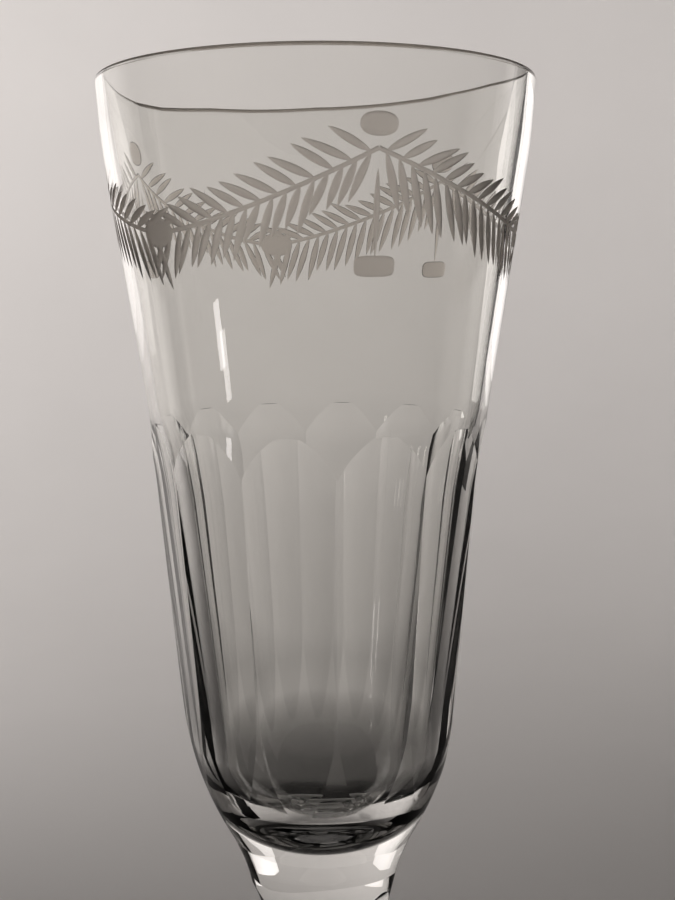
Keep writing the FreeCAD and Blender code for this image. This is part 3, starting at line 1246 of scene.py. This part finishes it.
@dataclass(frozen=True)
class BackgroundPaper:
    """Matt background paper: pale warm grey, soft, with only a trace of fibre.

    Attributes:
        pale: its colour at its palest.
        deep: its colour at its deepest.
        mottle: spacing of the faint clouds in it.
        mottle_detail: how much finer clouds there are in them.
        roughness: how widely it scatters light.
        gloss: how much of it is mirrored.
    """

    pale: str = "#ECEAE8"
    deep: str = "#E6E4E2"
    mottle: float = 60.0
    mottle_detail: float = 3.0
    roughness: float = 0.95
    gloss: float = 0.1

    def material(self) -> Material:
        """Return the material."""
        finish, tree, shader = new_finish(FinishName.PAPER, {
            "Roughness": self.roughness, "Specular IOR Level": self.gloss})
        place = add_node(tree, "ShaderNodeTexCoord")
        clouds = add_node(tree, "ShaderNodeTexNoise", links={
            "Vector": place.outputs["Object"], "Scale": 1 / (self.mottle * MM), "Detail": self.mottle_detail})
        colours = add_node(tree, "ShaderNodeMix", {"data_type": "RGBA"}, {
            0: clouds, 6: linear(self.deep), 7: linear(self.pale)})
        tree.links.new(colours.outputs[2], shader.inputs["Base Color"])
        return finish


@dataclass(frozen=True)
class PaintedShade:
    """Painted shade: card covered with black flock, which swallows nearly all light, for the glass alone to
    see.

    Attributes:
        colour: the little that it gives back.
    """

    colour: str = "#0A0909"

    def material(self, inner: float = 0.0, outer: float = 0.0, cover: float = 1.0) -> Material:
        """Return the material; if it has radii, that of a round card whose painted shade fades towards its
        edge.

        Args:
            inner: radius where the painted shade starts to fade.
            outer: radius where nothing is left of it.
            cover: how much it covers at its densest.

        Returns:
            The material.
        """
        finish, tree, shader = new_finish(FinishName.BLACK, {
            "Base Color": linear(self.colour), "Roughness": 1.0, "Specular IOR Level": 0.0})
        if outer:
            # painted shade, fading from cover at the inner radius to nothing at the outer one
            place = add_node(tree, "ShaderNodeTexCoord")
            reach = add_node(tree, VECTOR_MATH, {"operation": "LENGTH"}, {0: place.outputs["Object"]})
            share = add_node(tree, "ShaderNodeMapRange", links={
                "Value": reach.outputs["Value"], "From Min": inner * MM, "From Max": outer * MM})
            thin = add_node(tree, MATH, {"operation": "MULTIPLY_ADD"}, {0: share, 1: -cover, 2: cover})
            tree.links.new(thin.outputs[0], shader.inputs["Alpha"])
        return finish


@dataclass(frozen=True)
class ShadeCard:
    """An upright black card beside the set, painted shade that only the glass sees, which draws the dark
    lines in the glass.

    Attributes:
        name: which one it is.
        bearing: direction from the flute to its middle, clockwise from the far side.
        distance: how far away it stands.
        width: how wide it is.
        bottom: height of its lower edge.
        top: height of its upper edge.
    """

    name: str
    bearing: float
    distance: float
    width: float
    bottom: float
    top: float

    def build(self) -> Object:
        """Return the card."""
        angle = math.radians(self.bearing)
        middle = np.array((math.sin(angle), math.cos(angle))) * self.distance
        along = np.array((math.cos(angle), -math.sin(angle))) * self.width / 2
        corners = [(*(middle + side * along), height)
                   for side, height in ((-1, self.bottom), (1, self.bottom), (1, self.top), (-1, self.top))]
        return new_object(self.name, np.array(corners) * MM, [(0, 1, 2, 3)], PaintedShade().material())


@dataclass(frozen=True)
class FloorShade:
    """Painted shade: a round black card on the floor, with a hole for the foot, that darkens the lower glass.

    Attributes:
        hole: radius of the hole.
        inner: radius where it starts to thin out.
        outer: radius where it ends.
        cover: how much it covers at its densest.
        columns: facets round it.
    """

    hole: float = 33.0
    inner: float = 55.0
    outer: float = 235.0
    cover: float = 0.95
    columns: int = 96

    def build(self) -> Object:
        """Return the card."""
        rings = turned(np.array([(self.hole, 0), (self.outer, 0)]), self.columns)
        finish = PaintedShade().material(self.inner, self.outer, self.cover)
        # painted shade: a dark ring that only the glass sees
        return new_object("floor_shade", rings, ring_faces(2, self.columns, poles=0, flipped=True), finish)


@dataclass(frozen=True)
class PaperCove:
    """A round paper floor that bends up into a wall all round.

    Attributes:
        radius: radius of its upright wall.
        bend: radius of the bend between its floor and its wall.
        height: height of its wall.
        floor_gap: how far its floor lies under the foot, so that the two don't share a plane.
        columns: facets round it.
        tolerance: how far facets may stray from the bend.
    """

    radius: float = 560.0
    bend: float = 250.0
    height: float = 400.0
    floor_gap: float = 0.02
    columns: int = 180
    tolerance: float = 0.2

    def build(self) -> Object:
        """Return the cove."""
        rows = Outline([
            Corner(0, -self.floor_gap),
            Corner(self.radius, -self.floor_gap, self.bend),
            Corner(self.radius, self.height),
        ]).points(self.tolerance)[1:]
        vertices = np.concatenate([turned(rows, self.columns), [(0, 0, -self.floor_gap * MM)]])
        faces = ring_faces(len(rows), self.columns, poles=1, flipped=True)
        return new_object("paper_cove", vertices, faces, BackgroundPaper().material())


@dataclass(frozen=True)
class SoftLight:
    """A soft rectangular light.

    Attributes:
        name: what it does.
        place: its middle.
        target: the point that it faces.
        size: its width and height.
        power: in watts.
        colour: its colour.
        spread: how widely it throws its light, in degrees.
        mirrored: whether the glass shows it.
    """

    name: str
    place: tuple[float, float, float]
    target: tuple[float, float, float]
    size: tuple[float, float]
    power: float
    colour: str = "#FFFAF8"
    spread: float = 60.0
    mirrored: bool = True

    def build(self) -> None:
        """Add the light. It doesn't show in the picture itself, only in what it lights and in the glass."""
        data = bpy.data.lights.new(self.name, "AREA")
        data.shape = "RECTANGLE"
        data.size, data.size_y = self.size[0] * MM, self.size[1] * MM
        data.energy = self.power
        data.color = linear(self.colour)[:3]
        data.spread = math.radians(self.spread)
        item = bpy.data.objects.new(self.name, data)
        place, target = Vector(self.place), Vector(self.target)
        turn = (target - place).to_track_quat("-Z", "Y").to_matrix().to_4x4()
        item.matrix_world = Matrix.Translation(place * MM) @ turn
        item.visible_camera = False
        item.visible_glossy = item.visible_transmission = self.mirrored
        bpy.context.scene.collection.objects.link(item)


@dataclass(frozen=True)
class Studio:
    """A plain pale paper cove, soft lights and the camera.

    Attributes:
        view_height: height of the camera above the table.
        view_distance: its distance from the flute's axis.
        view_pitch: how far it looks down.
        view_yaw: how far it is turned to the right.
        view_roll: how far it is tilted clockwise.
        lens: its focal length.
        sensor: width of its sensor.
        cove: the paper.
        lights: the lights.
        cards: the black cards of painted shade. Only the glass sees them.
        room: colour of the dim room around.
        glass_bounces: how many surfaces of glass light is followed through.
        paper_bounces: how often it is followed from paper to paper.
    """

    view_height: float = 145.8
    view_distance: float = 168.46
    view_pitch: float = 8.48
    view_yaw: float = 0.90
    view_roll: float = -0.39
    lens: float = 47.17
    sensor: float = 36.0
    cove: PaperCove = PaperCove()
    lights: tuple[SoftLight, ...] = (
        SoftLight("left_wall_light", (-350, 0, 350), (-150, 560, 330), (200, 300), 1.5, spread=140,
                  mirrored=False),
        SoftLight("right_wall_light", (430, 150, 280), (200, 560, 300), (200, 300), 0.5, spread=150,
                  mirrored=False),
        SoftLight("left_panel", (-268, 398, 205), (0, 0, 110), (170, 344), 0.012),
        SoftLight("right_panel", (254, 407, 117), (0, 0, 110), (178, 224), 0.0125),
        SoftLight("side_window", (-266, -156, 52), (-12, -23, 139), (21, 26), 0.0012),
        SoftLight("top_light", (0, -200, 600), (0, -200, 0), (300, 300), 0.08, mirrored=False),
    )
    cards: tuple[ShadeCard | FloorShade, ...] = (
        # dark cards of painted shade, which only the glass sees
        ShadeCard("right_card", 53.0, 300.0, 95.0, 2.0, 300.0),
        FloorShade(),
    )
    room: str = "#1C1B1A"
    glass_bounces: int = 24
    paper_bounces: int = 2

    def build(self) -> None:
        """Set up the paper, the lights, the cards, the room and the camera."""
        self.cove.build()
        for light in self.lights:
            light.build()
        for card in [item.build() for item in self.cards]:
            # The cards are painted shade: neither the camera, the paper nor the shadows see them, only the
            # glass.
            card.visible_camera = card.visible_diffuse = card.visible_shadow = False
        world = bpy.data.worlds.new("room")
        world.use_nodes = True
        world.node_tree.nodes["Background"].inputs["Color"].default_value = linear(self.room)
        scene = bpy.context.scene
        scene.world = world
        scene.view_settings.view_transform = "Standard"
        scene.cycles.max_bounces = self.glass_bounces
        scene.cycles.transmission_bounces = self.glass_bounces
        scene.cycles.transparent_max_bounces = self.glass_bounces
        scene.cycles.diffuse_bounces = self.paper_bounces
        scene.cycles.caustics_reflective = scene.cycles.caustics_refractive = False
        self.camera()

    def camera(self) -> None:
        """Set up the camera."""
        data = bpy.data.cameras.new("camera")
        data.lens = self.lens
        data.sensor_width = self.sensor
        data.clip_start = 1 * MM
        item = bpy.data.objects.new("camera", data)
        bpy.context.scene.collection.objects.link(item)
        turn = Matrix.Rotation(math.radians(-self.view_yaw), 4, "Z")
        tilt = Matrix.Rotation(math.radians(90 - self.view_pitch), 4, "X")
        roll = Matrix.Rotation(math.radians(self.view_roll), 4, "Z")
        place = Matrix.Translation(Vector((0, -self.view_distance, self.view_height)) * MM)
        item.matrix_world = place @ turn @ tilt @ roll
        bpy.context.scene.camera = item


# ---- assembly


def main() -> None:
    """Build the flute, dress it and set up the studio."""
    logging.basicConfig(level=logging.INFO, format="%(message)s")
    crystal = FirePolishedCrystal().material()
    engraved = WheelEngravedCrystal().material()
    fused = FusedSeam().material()
    foot = Foot()
    stem = Stem(seam=foot.top, foot_radius=foot.stem_radius)
    bowl = Bowl(seam=stem.top)
    for node, design in (("bowl", bowl), ("stem", stem), ("foot", foot)):
        piece = design.build(f"{node}_glass", crystal, engraved, fused)
        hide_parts(node)
        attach(piece, "root")
        piece.visible_shadow = False
        LOG.info("%s: %d faces", piece.name, len(piece.data.polygons))
    Studio().build()


if __name__ == "__main__":
    main()
